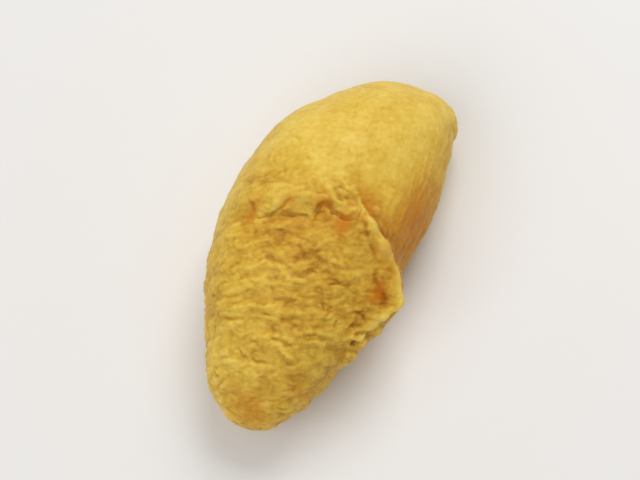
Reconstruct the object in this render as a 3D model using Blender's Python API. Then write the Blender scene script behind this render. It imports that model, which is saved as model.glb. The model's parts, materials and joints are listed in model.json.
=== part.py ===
"""One inari sushi: a three-cornered pouch of simmered fried tofu, packed full of rice.

The pouch lies on its folded-under mouth. Its two long corners are the ends of the piece, and its
third corner is the peak in the middle, which has slumped over to the +X side. One fold shows this:
it starts as a lip across the top, where the skin of the smooth half hangs over the crinkled half,
and goes on as the raised seam of the slumped corner, down to an ear that stands out from the wall.

Row frame: +Y runs along the piece to its smooth blunt end, +X points to the side with the ear,
+Z is up, and the origin is on the table under the middle of the piece. Sizes in the constants
are millimetres, and the mesh is in metres.
"""

import bmesh
import bpy
import numpy as np
from mathutils import Vector, noise

MM = 0.001

# Driving sizes of the pouch.
LENGTH = 86.5
HEIGHT = 35.0
FLOOR_BITE = 2.2            # how far the round belly would reach below the table: it is pressed flat

# The plain pouch at nine stations, which lie at even angles of a half turn from the narrow tip
# to the blunt tip: x of the -X side, x of the +X side, height of the roof and of the girth.
STATIONS = (
    (3.5, 3.5, 9.5, 9.5),
    (-6.2, 9.8, 17.0, 10.5),
    (-11.7, 15.2, 25.0, 12.0),
    (-18.6, 18.8, 31.5, 13.0),
    (-21.6, 20.8, 35.0, 13.5),
    (-19.8, 20.6, 34.0, 13.0),
    (-12.0, 18.6, 29.0, 12.5),
    (-3.6, 15.7, 20.0, 11.0),
    (7.0, 7.0, 10.0, 10.0),
)
ROOF_SQUARENESS = 0.86      # below 1 the section is squarer than an ellipse
SIDE_SQUARENESS = 0.90
BELLY_SQUARENESS = 0.75

# Mesh: rings across the piece, and points round each ring, closer together on the upper side.
RINGS = 72
ROUND_POINTS = 62
UPPER_SHARE = 0.68
TIP_CROWDING = 9.0          # the higher, the more evenly the rings are spaced away from the tips

# The fold, from the lip's start on the -X side to the tip of the ear, as plan points (x, y).
FOLD = ((-21, -3.0), (-14, -3.2), (-8, -1.4), (-2, 1.4), (4, 4.2), (9.8, 6.2), (14.2, 5.2),
        (18.0, 2.6), (20.8, 0.4), (22.1, -3.0), (22.6, -8.0))
FOLD_STEP_WIDTH = 3.0       # the skin drops over this width
FOLD_ROUNDING = 2.6
# Stretches of x where the lip fades in, and where it hands over to the seam.
LIP_STARTS = (-19.0, -8.0)
SEAM_TAKES_OVER = (2.0, 11.0)
LIP_DROP = 1.7              # how far the skin drops from the lip down to the crinkled half
LIP_RUN_OUT = 10.0
LIP_ROLL = 0.6              # how far the rolled edge of the lip stands up
SEAM_HEIGHT = 1.2           # how far the seam stands up
SEAM_DROP = 1.2             # the wall behind the seam lies this much deeper than the flap
SEAM_RUN_OUT = 7.0

EAR_OUT = 5.4               # how far the ear stands out from the side wall
EAR_Y = -6.6
EAR_LEVEL = 21.5
EAR_REACH_BACK = 7.5        # the ear fades out over this length towards +Y ...
EAR_REACH_FRONT = 13.5      # ... and over this length towards -Y
EAR_TIP_ROUNDING = 1.6
EAR_HALF_THICKNESS = 5.0
EAR_UNDERCUT = 1.6

HOLLOW_AT = (2.0, -6.0)     # the sunken middle of the slumped peak
HOLLOW_REACH = (10.5, 5.5)
HOLLOW_DEPTH = 1.1

# Uneven fill: soft lumps of rice under the skin, and broad wrinkles across the narrow half.
LUMP_SIZE = 14.0
LUMP_HEIGHT = 0.8
WRINKLE_SPACING = (8.5, 5.2)
WRINKLE_HEIGHT = 0.35
BLUNT_HALF_SMOOTHNESS = 0.3


def smooth_step(value, low, high):
    """0 up to low, 1 from high on, and a smooth rise between them."""
    share = np.clip((value - low) / (high - low), 0.0, 1.0)
    return share * share * (3.0 - 2.0 * share)


def bump(distance, reach):
    """A rounded bump of height 1 that fades out at about twice its reach."""
    return np.exp(-((distance / reach) ** 2))


def smooth_line(points, steps=8):
    """A Catmull-Rom curve through the points, as short straight steps."""
    inner = np.array(points, float)
    given = np.vstack([2 * inner[0] - inner[1], inner, 2 * inner[-1] - inner[-2]])
    found = []
    for a, b, c, d in zip(given, given[1:], given[2:], given[3:], strict=False):
        for s in np.linspace(0.0, 1.0, steps, endpoint=False):
            found.append(0.5 * (2 * b + (c - a) * s + (2 * a - 5 * b + 4 * c - d) * s**2
                                + (3 * b - a - 3 * c + d) * s**3))
    found.append(inner[-1])
    return np.array(found)


def ring_places():
    """The y of every ring: even steps in the middle, and ever smaller ones towards the tips."""
    turns = np.linspace(-1.0, 1.0, RINGS + 2)[1:-1]
    extra = 1.0 / (TIP_CROWDING - 1.0)
    return LENGTH / 2 * turns * (1.0 + extra - extra * np.abs(turns) ** (TIP_CROWDING - 1.0))


def ring_angles():
    """Angles round a ring, from +X over the top and back under the belly."""
    upper = round(ROUND_POINTS * UPPER_SHARE)
    over = np.linspace(0.0, np.pi, upper, endpoint=False)
    under = np.linspace(np.pi, 2.0 * np.pi, ROUND_POINTS - upper, endpoint=False)
    return np.concatenate([over, under])


def plain_pouch():
    """The points of the pouch before its fold and wrinkles, ring by ring."""
    profile = smooth_line(STATIONS, steps=24)
    along = np.linspace(0.0, np.pi, len(profile))
    angles = ring_angles()
    across, up = np.cos(angles), np.sin(angles)
    rings = []
    for y in ring_places():
        turn = np.arccos(-2.0 * y / LENGTH)
        left, right, roof, girth = (np.interp(turn, along, column) for column in profile.T)
        tip_level = np.interp(y, (-LENGTH / 2, LENGTH / 2), (STATIONS[0][3], STATIONS[-1][3]))
        belly = (girth + FLOOR_BITE) * np.sin(turn) ** 0.8 + 0.001
        sideways = np.sign(across) * np.abs(across) ** SIDE_SQUARENESS
        x = (left + right) / 2 + (right - left) / 2 * sideways
        over = girth + (roof - girth) * np.abs(up) ** ROOF_SQUARENESS
        under = tip_level + (girth - tip_level) * np.sin(turn) - belly * np.abs(up) ** BELLY_SQUARENESS
        rings.append(np.stack([x, np.full_like(x, y), np.where(up >= 0, over, under)], axis=1))
    return np.concatenate(rings)


def pouch_faces():
    """Quads between the rings, as a grid of point numbers, with the two end rings left open."""
    ring_starts = np.arange(RINGS - 1)[:, None] * ROUND_POINTS
    here = np.arange(ROUND_POINTS)[None, :]
    following = (here + 1) % ROUND_POINTS
    corners = [ring_starts + here, ring_starts + ROUND_POINTS + here,
               ring_starts + ROUND_POINTS + following, ring_starts + following]
    return np.stack([c.ravel() for c in corners], axis=1)


def normals_of(points, faces):
    """Smooth outward normals of the grid of quads."""
    corner = points[faces]
    face_normals = np.cross(corner[:, 2] - corner[:, 0], corner[:, 3] - corner[:, 1])
    found = np.zeros_like(points)
    for k in range(4):
        np.add.at(found, faces[:, k], face_normals)
    return found / np.maximum(np.linalg.norm(found, axis=1, keepdims=True), 1e-9)


def from_line(places, line):
    """For each plan place, how far it is from the line: above 0 on the -Y side of it."""
    best = np.full(len(places), np.inf)
    signed = np.zeros(len(places))
    for a, b in zip(line, line[1:], strict=False):
        step = b - a
        offset = places - a
        share = np.clip(offset @ step / (step @ step), 0.0, 1.0)
        gap = offset - share[:, None] * step
        distance = np.hypot(gap[:, 0], gap[:, 1])
        side = np.where(step[1] * offset[:, 0] - step[0] * offset[:, 1] >= 0, 1.0, -1.0)
        nearer = distance < best
        best[nearer] = distance[nearer]
        signed[nearer] = (side * distance)[nearer]
    return signed


def swell(points, normals):
    """Soft lumps all over, and broad wrinkles that lie across the narrow half."""
    heights = []
    across, along = WRINKLE_SPACING
    for x, y, z in points:
        lump = noise.noise(Vector((x, y, z)) / LUMP_SIZE)
        fold = abs(noise.noise(Vector((x / across + 7.3, y / along + 1.9, z / across + 4.1))))
        crinkled = 1.0 - (1.0 - BLUNT_HALF_SMOOTHNESS) * smooth_step(y, -4.0, 8.0)
        heights.append(LUMP_HEIGHT * lump + WRINKLE_HEIGHT * crinkled * (2.2 * fold - 0.4))
    return points + normals * np.array(heights)[:, None]


def fold_over(points, normals):
    """Drops the skin below the lip, raises the seam, and sinks the wall behind it."""
    past = from_line(points[:, :2], smooth_line(FOLD))
    on_top = smooth_step(points[:, 2], HEIGHT * 0.28, HEIGHT * 0.6)
    seam = smooth_step(points[:, 0], *SEAM_TAKES_OVER)
    lip = smooth_step(points[:, 0], *LIP_STARTS) * (1.0 - seam)
    half = FOLD_STEP_WIDTH / 2
    below = smooth_step(past, -half, half) * np.exp(-np.maximum(past, 0.0) / LIP_RUN_OUT)
    behind = smooth_step(-past, -half, half) * np.exp(-np.maximum(-past, 0.0) / SEAM_RUN_OUT)
    height = -LIP_DROP * lip * below - SEAM_DROP * seam * behind
    height += LIP_ROLL * lip * bump(past + half + FOLD_ROUNDING / 2, FOLD_ROUNDING)
    height += SEAM_HEIGHT * seam * bump(past - half, FOLD_ROUNDING)
    reach_x, reach_y = HOLLOW_REACH
    from_hollow = np.hypot((points[:, 0] - HOLLOW_AT[0]) / reach_x, (points[:, 1] - HOLLOW_AT[1]) / reach_y)
    height -= HOLLOW_DEPTH * bump(from_hollow, 1.0) * smooth_step(past, -half, half)
    return points + normals * (height * on_top)[:, None]


def pull_ear(points):
    """Draws the skin out at the lower end of the seam, and tucks the wall in below it."""
    past_ear = points[:, 1] - EAR_Y
    reach = np.where(past_ear > 0, EAR_REACH_BACK, EAR_REACH_FRONT)
    rounded = np.hypot(past_ear, EAR_TIP_ROUNDING) - EAR_TIP_ROUNDING
    near = np.clip(1.0 - rounded / reach, 0.0, 1.0) ** 1.3 * smooth_step(points[:, 0], 8.0, 18.0)
    out = EAR_OUT * near * bump(points[:, 2] - EAR_LEVEL, EAR_HALF_THICKNESS)
    tuck_level = EAR_LEVEL - 2.2 * EAR_HALF_THICKNESS
    tuck = EAR_UNDERCUT * near * bump(points[:, 2] - tuck_level, EAR_HALF_THICKNESS)
    moved = points.copy()
    moved[:, 0] += out - tuck
    moved[:, 2] -= 0.3 * out
    return moved


def pouch_mesh():
    """The folded pouch as one closed mesh, its belly pressed flat on the table."""
    points = plain_pouch()
    faces = pouch_faces()
    points = swell(points, normals_of(points, faces))
    points = fold_over(points, normals_of(points, faces))
    points = pull_ear(points)
    points[:, 2] = np.maximum(points[:, 2], 0.0)
    points[:, :2] -= (points[:, :2].max(axis=0) + points[:, :2].min(axis=0)) / 2

    mesh = bpy.data.meshes.new("tofu_pouch")
    shape = bmesh.new()
    corners = [shape.verts.new(Vector(p) * MM) for p in points]
    for face in faces:
        shape.faces.new([corners[i] for i in face])
    for first in (0, (RINGS - 1) * ROUND_POINTS):
        rim = corners[first:first + ROUND_POINTS]
        tip = shape.verts.new(sum((v.co for v in rim), Vector()) / ROUND_POINTS)
        for a, b in zip(rim, rim[1:] + rim[:1], strict=True):
            shape.faces.new((tip, a, b))
    bmesh.ops.recalc_face_normals(shape, faces=shape.faces)
    shape.to_mesh(mesh)
    shape.free()
    mesh.shade_smooth()
    return mesh


def tofu_skin():
    """Fried tofu simmered in sweet soy: golden, moist, with no metal in it."""
    material = bpy.data.materials.new("simmered_fried_tofu")
    material.use_nodes = True
    surface = material.node_tree.nodes["Principled BSDF"]
    surface.inputs["Base Color"].default_value = (0.60, 0.35, 0.065, 1.0)
    surface.inputs["Roughness"].default_value = 0.45
    surface.inputs["Metallic"].default_value = 0.0
    return material


def main():
    for thing in list(bpy.data.objects):
        bpy.data.objects.remove(thing, do_unlink=True)
    pouch = bpy.data.objects.new("tofu_pouch", pouch_mesh())
    pouch.data.materials.append(tofu_skin())
    bpy.context.scene.collection.objects.link(pouch)


main()
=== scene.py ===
# %% [markdown]
# # Inari sushi, a lesson in cells
#
# The real thing is a three-cornered pouch of fried tofu, simmered in sweet soy and packed with
# rice. It lies on its folded mouth. One half of the skin is smooth and pale, the other half is
# crinkled, and between them the pouch's third corner has slumped over: a lip runs across the top,
# goes on as a raised hem, and ends in an ear on the +X side.
#
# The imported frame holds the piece's true size and plain shape. This script gives it a skin. We
# start by loading the frame and by keeping its box, because the skin has to stay inside it.

import json
import math

import bmesh
import bpy
import numpy as np
from mathutils import Matrix, Vector, bvhtree, noise

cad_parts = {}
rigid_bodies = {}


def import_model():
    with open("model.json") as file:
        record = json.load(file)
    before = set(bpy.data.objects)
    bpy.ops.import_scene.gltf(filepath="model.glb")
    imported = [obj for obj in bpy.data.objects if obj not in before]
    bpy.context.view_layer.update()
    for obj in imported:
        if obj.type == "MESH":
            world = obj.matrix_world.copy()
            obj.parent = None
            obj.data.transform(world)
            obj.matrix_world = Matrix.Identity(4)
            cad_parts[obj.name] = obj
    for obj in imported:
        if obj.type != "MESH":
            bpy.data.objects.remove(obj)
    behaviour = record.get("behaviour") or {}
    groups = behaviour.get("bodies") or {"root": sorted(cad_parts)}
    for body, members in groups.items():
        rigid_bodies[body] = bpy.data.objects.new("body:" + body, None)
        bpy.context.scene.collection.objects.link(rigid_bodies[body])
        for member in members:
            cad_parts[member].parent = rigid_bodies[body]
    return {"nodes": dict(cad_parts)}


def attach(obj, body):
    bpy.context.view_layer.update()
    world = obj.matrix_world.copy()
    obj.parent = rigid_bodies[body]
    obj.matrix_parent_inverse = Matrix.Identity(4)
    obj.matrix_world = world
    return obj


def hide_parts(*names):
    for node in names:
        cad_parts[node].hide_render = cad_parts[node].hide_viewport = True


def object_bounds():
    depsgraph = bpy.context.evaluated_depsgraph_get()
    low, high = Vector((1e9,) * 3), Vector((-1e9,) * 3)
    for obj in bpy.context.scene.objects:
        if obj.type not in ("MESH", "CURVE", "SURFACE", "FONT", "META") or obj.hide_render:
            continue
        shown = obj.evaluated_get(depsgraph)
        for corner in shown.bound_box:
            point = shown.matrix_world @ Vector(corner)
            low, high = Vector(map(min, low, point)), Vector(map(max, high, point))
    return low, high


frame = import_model()
cad_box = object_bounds()

MM = 0.001
print("CAD box in mm:", [[round(c / MM, 1) for c in corner] for corner in cad_box])

# %% [markdown]
# Three small helpers serve every later cell. Colours are written as sRGB hex codes, as a painter
# would pick them, and Blender wants linear light, so one function turns the one into the other.
# Node trees are easiest to read when each node is one call, so one function adds a node, sets its
# properties, and fills its inputs with plain values or with links. The third one applies an
# object's modifiers and leaves a plain mesh.

# %% Helpers
def linear(hex_code):
    """An sRGB hex code as linear red, green, blue and alpha."""
    channels = [int(hex_code[i:i + 2], 16) / 255 for i in (1, 3, 5)]
    return (*[c / 12.92 if c <= 0.04045 else ((c + 0.055) / 1.055) ** 2.4 for c in channels], 1.0)


def add_node(tree, kind, inputs=None, output=0, **settings):
    """Adds one node and gives one of its outputs. An input given as a socket is linked, and any
    other value is set. A node that has no output is given whole."""
    made = tree.nodes.new(kind)
    for name, value in settings.items():
        setattr(made, name, value)
    for key, value in (inputs or {}).items():
        if isinstance(value, bpy.types.NodeSocket):
            tree.links.new(value, made.inputs[key])
        else:
            made.inputs[key].default_value = value
    return made.outputs[output] if len(made.outputs) else made


def settle(piece):
    """Applies every modifier of a piece, so that it holds a plain mesh."""
    evaluated = piece.evaluated_get(bpy.context.evaluated_depsgraph_get())
    plain = bpy.data.meshes.new_from_object(evaluated)
    piece.modifiers.clear()
    old, piece.data = piece.data, plain
    bpy.data.meshes.remove(old)
    return piece


print("sRGB #d9a441 in linear light:", [round(c, 3) for c in linear("#d9a441")[:3]])

# %% [markdown]
# **The camera** looks down on the piece at about 72 degrees above the table, from its +X and -Y
# side, as someone does who leans over a lunch box. It is 0.39 m away with a long lens, so there is
# little perspective. The view's up direction lies in the table, turned 26.7 degrees from +Y.

# %% Camera
CAMERA_AZIMUTH = 44.7
CAMERA_ELEVATION = 72.1
CAMERA_DISTANCE = 0.39
VIEW_TURN = 26.7
LENS = 100.0

aim = sum(cad_box, Vector()) / 2
azimuth, elevation = math.radians(CAMERA_AZIMUTH), math.radians(CAMERA_ELEVATION)
outward = Vector((math.sin(azimuth) * math.cos(elevation), -math.cos(azimuth) * math.cos(elevation),
                  math.sin(elevation)))
turn = math.radians(VIEW_TURN)
view_up = Vector((-math.sin(turn), math.cos(turn), 0.0))
right = view_up.cross(outward).normalized()
camera_axes = Matrix((right, outward.cross(right), outward)).transposed()

camera = bpy.data.objects.new("camera", bpy.data.cameras.new("camera"))
camera.data.lens = LENS
camera.data.clip_start = 0.01
camera.matrix_world = Matrix.Translation(aim + outward * CAMERA_DISTANCE) @ camera_axes.to_4x4()
bpy.context.scene.collection.objects.link(camera)
bpy.context.scene.camera = camera
print("camera stands at", [round(c, 3) for c in camera.matrix_world.translation])

# %% [markdown]
# **The table** is a plain pale disc, wide enough to fill all but the lowest views. It is a tabletop
# of matt white lacquer, which shows the piece's shadow and puts no pattern behind the food.

# %% Table
TABLE_COLOUR = "#eeecea"
TABLE_RADIUS, TABLE_SIDES = 1.2, 96
LACQUER_ROUGHNESS = 0.6

table_mesh = bpy.data.meshes.new("table")
disc = bmesh.new()
bmesh.ops.create_circle(disc, cap_ends=True, segments=TABLE_SIDES, radius=TABLE_RADIUS)
disc.to_mesh(table_mesh)
disc.free()
table = bpy.data.objects.new("table", table_mesh)
bpy.context.scene.collection.objects.link(table)
lacquer = bpy.data.materials.new("matt_white_lacquer")
lacquer.use_nodes = True
coat = lacquer.node_tree.nodes["Principled BSDF"]
coat.inputs["Base Color"].default_value = linear(TABLE_COLOUR)
coat.inputs["Roughness"].default_value = LACQUER_ROUGHNESS
table_mesh.materials.append(lacquer)
print("table:", TABLE_RADIUS * 2, "m across")

# %% [markdown]
# **The light.** One softbox stands high behind the piece and a little to its right, so that the
# smooth half is bright and the near half lies in soft shade. A wide, weaker one in front keeps
# that shade open, and a pale world does the rest. Big lamps close by give soft shadows, as a
# window does. The Standard view transform keeps the colours as they are mixed.

# %% Light
# Each lamp: size in metres, power in watts, and how far in metres it stands to the view's right,
# along the view's up, and above the table.
KEY_LAMP = (0.5, 5.0, 0.25, 0.60, 0.78)
FILL_LAMP = (0.9, 3.8, -0.40, -0.50, 0.70)
SKY_COLOUR, SKY_STRENGTH = "#f6f5f2", 0.42


def softbox(name, size, power, across, upward, height):
    """A square lamp that faces the piece, at a place given as in the lines above."""
    lamp = bpy.data.lights.new(name, "AREA")
    lamp.shape, lamp.size, lamp.energy = "SQUARE", size, power
    holder = bpy.data.objects.new(name, lamp)
    place = right * across + view_up * upward + Vector((0, 0, height))
    holder.matrix_world = Matrix.Translation(place) @ place.to_track_quat("Z", "Y").to_matrix().to_4x4()
    bpy.context.scene.collection.objects.link(holder)


softbox("key", *KEY_LAMP)
softbox("fill", *FILL_LAMP)
sky = bpy.data.worlds.new("sky")
sky.use_nodes = True
dome = sky.node_tree.nodes["Background"]
dome.inputs["Color"].default_value = linear(SKY_COLOUR)
dome.inputs["Strength"].default_value = SKY_STRENGTH
bpy.context.scene.world = sky
bpy.context.scene.view_settings.view_transform = "Standard"

# %% [markdown]
# **The plump body.** Under the skin the rice gives the pouch its plump shape, and the frame's
# solid has that shape already, in flat facets about 1.4 mm wide. Sculpting it again would lose its
# true size. So a copy is merged, subdivided and rebuilt from even voxels, and then smoothed until
# the facets are gone. Even voxels matter later: fine folds need points everywhere.

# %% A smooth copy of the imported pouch
SAME_PLACE = 0.001 * MM        # points closer than this are one point
FLAT_ENOUGH = 0.7              # neighbouring triangles within this angle, in radians, become one face
ROUGH_VOXEL = 0.5 * MM
FACET_SMOOTHING = 16

body_mesh = frame["nodes"]["tofu_pouch"].data.copy()
body_mesh.materials.clear()
work = bmesh.new()
work.from_mesh(body_mesh)
bmesh.ops.remove_doubles(work, verts=work.verts, dist=SAME_PLACE)
bmesh.ops.join_triangles(work, faces=work.faces, angle_face_threshold=FLAT_ENOUGH,
                         angle_shape_threshold=FLAT_ENOUGH)
work.to_mesh(body_mesh)
work.free()
skin = bpy.data.objects.new("tofu_skin", body_mesh)
bpy.context.scene.collection.objects.link(skin)
rounding = skin.modifiers.new("rounding", "SUBSURF")
rounding.levels = rounding.render_levels = 2
voxels = skin.modifiers.new("voxels", "REMESH")
voxels.mode, voxels.voxel_size = "VOXEL", ROUGH_VOXEL
smoothing = skin.modifiers.new("smoothing", "SMOOTH")
smoothing.factor, smoothing.iterations = 0.5, FACET_SMOOTHING
settle(skin)
print("smooth body:", len(skin.data.polygons), "faces")

# %% [markdown]
# **Points as arrays.** Folds are pressed into all points of the skin at once. Python would take
# minutes to move a hundred thousand points one by one, and numpy takes seconds, so these helpers
# read a mesh's points and normals as arrays in millimetres and write them back. The last one
# builds a search tree, which finds the skin nearest to any place.

# %% Points as arrays
def places_of(piece):
    """The points of a mesh as an array, in millimetres."""
    found = np.empty(len(piece.data.vertices) * 3)
    piece.data.vertices.foreach_get("co", found)
    return found.reshape(-1, 3) / MM


def normals_of(piece):
    """The outward direction at each point of a mesh, of length 1."""
    found = np.empty(len(piece.data.vertices) * 3)
    piece.data.vertex_normals.foreach_get("vector", found)
    return found.reshape(-1, 3)


def move_to(piece, places):
    """Moves the points of a mesh to places given in millimetres."""
    piece.data.vertices.foreach_set("co", (places * MM).ravel())
    piece.data.update()


def skin_finder():
    """A search tree of the skin as it is now."""
    return bvhtree.BVHTree.FromObject(skin, bpy.context.evaluated_depsgraph_get())


print("points:", len(skin.data.vertices), " top:", round(places_of(skin)[:, 2].max(), 1), "mm")

# %% [markdown]
# **Soft steps.** Nothing on a soft skin starts or stops sharply. So every shape below is faded
# with one of these: a smooth rise from 0 to 1, a rounded bump, a patch that is such a bump seen
# from above, and slow noise that makes lines wander as they do on real skin.

# %% Soft steps
def rise(value, start, end):
    """0 before start, 1 after end, and a smooth rise between them."""
    share = np.clip((value - start) / (end - start), 0.0, 1.0)
    return share * share * (3.0 - 2.0 * share)


def bump(distance, reach):
    """A rounded bump of height 1 that fades out at about twice its reach."""
    return np.exp(-((distance / reach) ** 2))


def patch(places, strength, middle_x, middle_y, reach_x, reach_y):
    """A soft round patch as seen from above, with its full strength in the middle."""
    x, y, _ = places.T
    return strength * bump(np.hypot((x - middle_x) / reach_x, (y - middle_y) / reach_y), 1.0)


def ripple(places, size, seed):
    """Smooth noise between about -1 and 1, whose bumps are about size millimetres wide."""
    shift = Vector((seed * 17.3, seed * 5.1, seed * 9.7))
    return np.array([noise.noise(Vector(p) / size + shift) for p in places])


print("a bump of reach 1 at 0, 1 and 2:", [round(float(bump(d, 1.0)), 2) for d in (0, 1, 2)])

# %% [markdown]
# ** Guide lines.** Most folds of a pouch fall where fingers pressed it, and no rule gives their
# places, so they are given one by one. A guide line is a few points in millimetres, joined by a
# smooth curve and laid onto the skin. Points of two numbers are seen from above and dropped down
# onto it.
# Points of three numbers go to the nearest skin, which is how a line gets down a wall. The line
# also keeps the skin's normals, because the way across the line, within the skin, is the cross
# product of the line's direction and the normal.

# %% Guide lines on the skin
HIGH_ABOVE, HALFWAY_UP = 80.0, 20.0      # heights in mm to drop a point from and to search near


def smooth_line(points, steps=8):
    """A Catmull-Rom curve through the points, as short straight steps."""
    inner = np.array(points, float)
    given = np.vstack([2 * inner[0] - inner[1], inner, 2 * inner[-1] - inner[-2]])
    found = []
    for a, b, c, d in zip(given, given[1:], given[2:], given[3:]):
        for s in np.linspace(0.0, 1.0, steps, endpoint=False):
            found.append(0.5 * (2 * b + (c - a) * s + (2 * a - 5 * b + 4 * c - d) * s**2
                                + (3 * b - a - 3 * c + d) * s**3))
    found.append(inner[-1])
    return np.array(found)


def lay_line(finder, points):
    """Lays a smooth line onto the skin, and gives its places and the skin's normals there."""
    places, ups = [], []
    for place in smooth_line(points):
        hit, up = None, None
        if len(place) == 2:
            hit, up = finder.ray_cast(Vector((*place, HIGH_ABOVE)) * MM, Vector((0, 0, -1)))[:2]
        if hit is None:
            hit, up = finder.find_nearest(Vector((*place, HALFWAY_UP)[:3]) * MM)[:2]
        places.append(hit / MM)
        ups.append(up)
    return np.array(places), np.array(ups)


ridge_line = lay_line(skin_finder(), ((0, -30), (0, 0), (0, 30)))[0]
print("a line laid over the piece rises to", round(float(ridge_line[:, 2].max()), 1), "mm")

# %% [markdown]
# **Distance from a line.** To roll or press the skin along a line, each point needs three numbers:
# how far it is from the line, on which side, and how far along. Only the points in the line's own
# box are asked, which saves time.

# %% Distance from a line
def near_line(places, line, reach=9.0):
    """Which places lie in the box of a line, widened by a reach in millimetres."""
    return np.all((places > line.min(axis=0) - reach) & (places < line.max(axis=0) + reach), axis=1)


def from_line(places, line, ups):
    """For each place: its distance from the line, its side (above 0 on the right), and how far
    along the line it is, in millimetres."""
    nearest = np.full(len(places), np.inf)
    side, along = np.ones(len(places)), np.zeros(len(places))
    run = 0.0
    for a, b, up in zip(line, line[1:], ups):
        step = b - a
        length = np.linalg.norm(step) + 1e-9
        offset = places - a
        share = np.clip(offset @ step / length**2, 0.0, 1.0)
        distance = np.linalg.norm(offset - share[:, None] * step, axis=1)
        to_right = offset @ np.cross(step, up)
        nearer = distance < nearest
        nearest[nearer] = distance[nearer]
        side[nearer] = np.where(to_right[nearer] >= 0, 1.0, -1.0)
        along[nearer] = (run + share * length)[nearer]
        run += length
    return nearest, side, along


print("points near that line:", int(near_line(places_of(skin), ridge_line).sum()))

# %% [markdown]
# **The lip and the hem.** Where the smooth skin hangs over the crinkled half, its edge is rolled
# and it overhangs, with a crease tucked under it. Further on, the slumped corner does the same to
# the wall: its hem is a doubled edge that stands out over the wall, runs down to the ear, and
# turns back below it. Both lines are laid so that the upper skin is on their left. Points there
# move up and across, and points on the right are tucked in. A little noise in the distance makes
# the edge wander and pleat, as real skin does.

# %% Roll the lip and the hem
LIP = ((-12.8, -4.0), (-10.7, -4.2), (-8.9, -3.1), (-7.3, -2.0), (-5.6, -1.3), (-3.4, -0.7), (-1.4, -0.3),
       (0.0, 0.2), (0.1, 1.6), (0.5, 3.3), (1.9, 3.9), (3.5, 3.3), (5.2, 2.9), (6.5, 2.8), (7.4, 3.7),
       (8.2, 4.8), (9.2, 6.0))
HEM = ((15.4, -18.6, 21.0), (17.6, -15.9, 20.5), (19.1, -13.0, 20.5), (20.6, -10.0, 20.8), (22.4, -7.4, 20.6),
       (23.7, -5.7, 20.6), (22.5, -3.9, 22.0), (21.0, -1.6, 23.0), (19.6, 0.6, 24.3), (17.9, 1.8, 26.3),
       (16.1, 2.8, 28.6), (14.5, 3.9, 30.2), (12.7, 5.3, 31.8), (10.9, 6.6, 32.8), (8.9, 7.6, 33.4))
# For each line, in mm: roll, overhang, tuck, how wide the roll is, how far it is set back, and how
# long it takes to fade in and out.
LIP_SHAPE = (0.28, 0.30, 0.60, 1.0, 0.8, (1.2, 2.5))
HEM_SHAPE = (1.0, 0.9, 1.6, 1.2, 0.0, (5.0, 3.0))
WANDER_REACH = 3.0             # the edge's wandering dies away over this many mm


def roll_edge(places, normals, line, ups, shape, seed):
    """Rolls the skin on the left of a line over the skin on its right, and tucks the latter in."""
    roll, overhang, tuck, width, set_back, (fade_in, fade_out) = shape
    near = near_line(places, line)
    spot = places[near]
    distance, side, along = from_line(spot, line, ups)
    wander = 0.35 * ripple(spot, 3.2, seed) + 0.2 * ripple(spot, 1.4, seed + 1)
    past = distance * side + set_back + wander * np.exp(-distance / WANDER_REACH)
    lengths = np.concatenate([[0.0], np.cumsum(np.linalg.norm(np.diff(line, axis=0), axis=1))])
    across = np.cross(np.gradient(line, axis=0), ups)
    across /= np.linalg.norm(across, axis=1, keepdims=True)
    way = np.stack([np.interp(along, lengths, across[:, k]) for k in range(3)], axis=1)
    share = rise(along, 0.0, fade_in) * (1.0 - rise(along, lengths[-1] - fade_out, lengths[-1]))
    share *= np.clip(0.75 + 0.9 * ripple(spot, 3.6, seed + 2), 0.15, 1.3)
    up = roll * bump(past + 0.9 * width, width) - tuck * bump(past - 0.7, 0.5 * width)
    out = overhang * (bump(past + 0.5, 0.8 * width) - 0.8 * bump(past - 0.8, 0.6 * width))
    moved = places.copy()
    moved[near] += normals[near] * (up * share)[:, None] + way * (out * share)[:, None]
    return moved


finder = skin_finder()
lip, lip_ups = lay_line(finder, LIP)
hem, hem_ups = lay_line(finder, HEM)
places = roll_edge(places_of(skin), normals_of(skin), lip, lip_ups, LIP_SHAPE, 1)
move_to(skin, places)
places = roll_edge(places, normals_of(skin), hem, hem_ups, HEM_SHAPE, 5)
move_to(skin, places)
print("the ear's tip is at", [round(float(c), 1) for c in hem[hem[:, 0].argmax()]], "mm")

# %% [markdown]
# **Below the ear** the torn edge of the mouth is folded in, so the wall bulges there. The bulge is
# a bump along one more guide line. Rolling and bulging have stretched the mesh, so it is rebuilt
# from even voxels once more, finer this time, for the folds to come.

# %% Swell the wall and rebuild the skin
BULGE, BULGE_WIDTH = 2.1, 2.6
BULGE_LINE = ((19.6, -12.4, 18.0), (18.2, -15.4, 17.5), (16.9, -18.2, 17.0), (15.9, -20.4, 15.0))
FINE_VOXEL = 0.38 * MM
EDGE_SMOOTHING = 3

bulge_line, bulge_ups = lay_line(skin_finder(), BULGE_LINE)
bulge = BULGE * bump(from_line(places, bulge_line, bulge_ups)[0], BULGE_WIDTH)
move_to(skin, places + normals_of(skin) * bulge[:, None])
voxels = skin.modifiers.new("voxels", "REMESH")
voxels.mode, voxels.voxel_size = "VOXEL", FINE_VOXEL
smoothing = skin.modifiers.new("smoothing", "SMOOTH")
smoothing.factor, smoothing.iterations = 0.5, EDGE_SMOOTHING
settle(skin)
print("lip, hem and bulge are in,", len(skin.data.polygons), "faces")

# %% [markdown]
# **Single folds.** Some folds catch the eye one by one, and no two pouches share them. Each is a
# guide line with a height, above 0 for a ridge and below 0 for a crease, and a width. First come
# the creases that the lip throws, the orange one at its -X end and the tight ones under it, and
# then the pleats gathered above it.

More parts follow.
